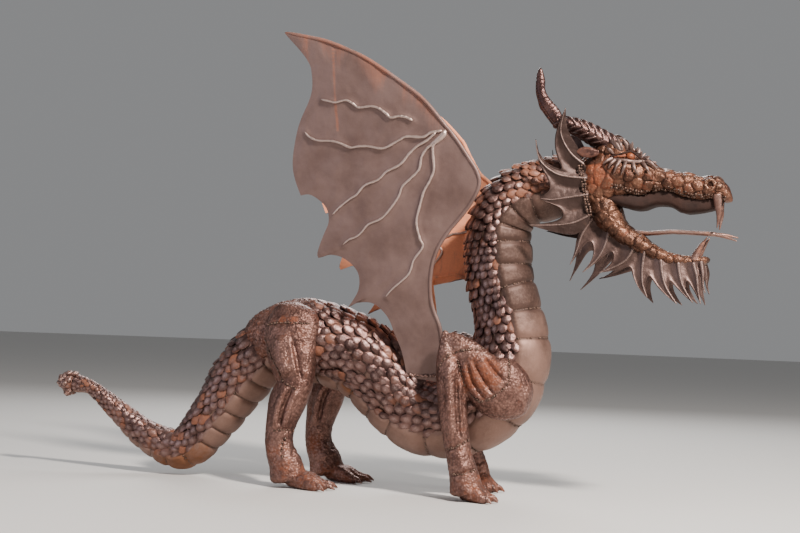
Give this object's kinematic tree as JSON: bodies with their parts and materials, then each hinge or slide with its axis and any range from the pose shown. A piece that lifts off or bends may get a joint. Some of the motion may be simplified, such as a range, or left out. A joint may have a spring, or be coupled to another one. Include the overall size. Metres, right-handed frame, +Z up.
{
  "type": "metal dragon sculpture",
  "caption": "Garden dragon of welded sheet steel on four clawed feet, with raised scalloped wings, a long scaled neck and tail, and an open horned head with a forked tongue.",
  "frame": {"origin": "on the ground under the middle of the whole sculpture's box", "axes": "+X runs from tail to head, +Y is the dragon's left side, +Z is up"},
  "size_m": [2.1247, 0.4536, 1.3465],
  "materials": {
    "scale_steel": "hammered, rusted",
    "skin_steel": "weld-stippled, rusted",
    "wing_steel": "mill scale, rust runs",
    "dark_steel": "dark mill scale",
    "fang_steel": "worn",
    "eye_rust": "orange rust"
  },
  "bodies": {
    "root": {"body": "scale_steel", "hindleg_right": "skin_steel", "hindleg_left": "skin_steel", "foreleg_right": "skin_steel", "foreleg_left": "skin_steel", "wing_right": "wing_steel", "wing_left": "wing_steel", "head": "skin_steel", "palate": "dark_steel", "jaw": "skin_steel", "tongue": "skin_steel", "horn_right": "scale_steel", "horn_left": "scale_steel", "frill_right": "wing_steel", "frill_left": "wing_steel", "ear_right": "skin_steel", "ear_left": "skin_steel", "beard_right": "wing_steel", "beard_left": "wing_steel", "eye_ring_right": "skin_steel", "eye_ring_left": "skin_steel", "eye_right": "eye_rust", "eye_left": "eye_rust", "nostril_right": "skin_steel", "nostril_left": "skin_steel", "upper_fang_right": "fang_steel", "upper_fang_left": "fang_steel", "lower_fang_right": "fang_steel", "lower_fang_left": "fang_steel"}
  },
  "joints": []
}
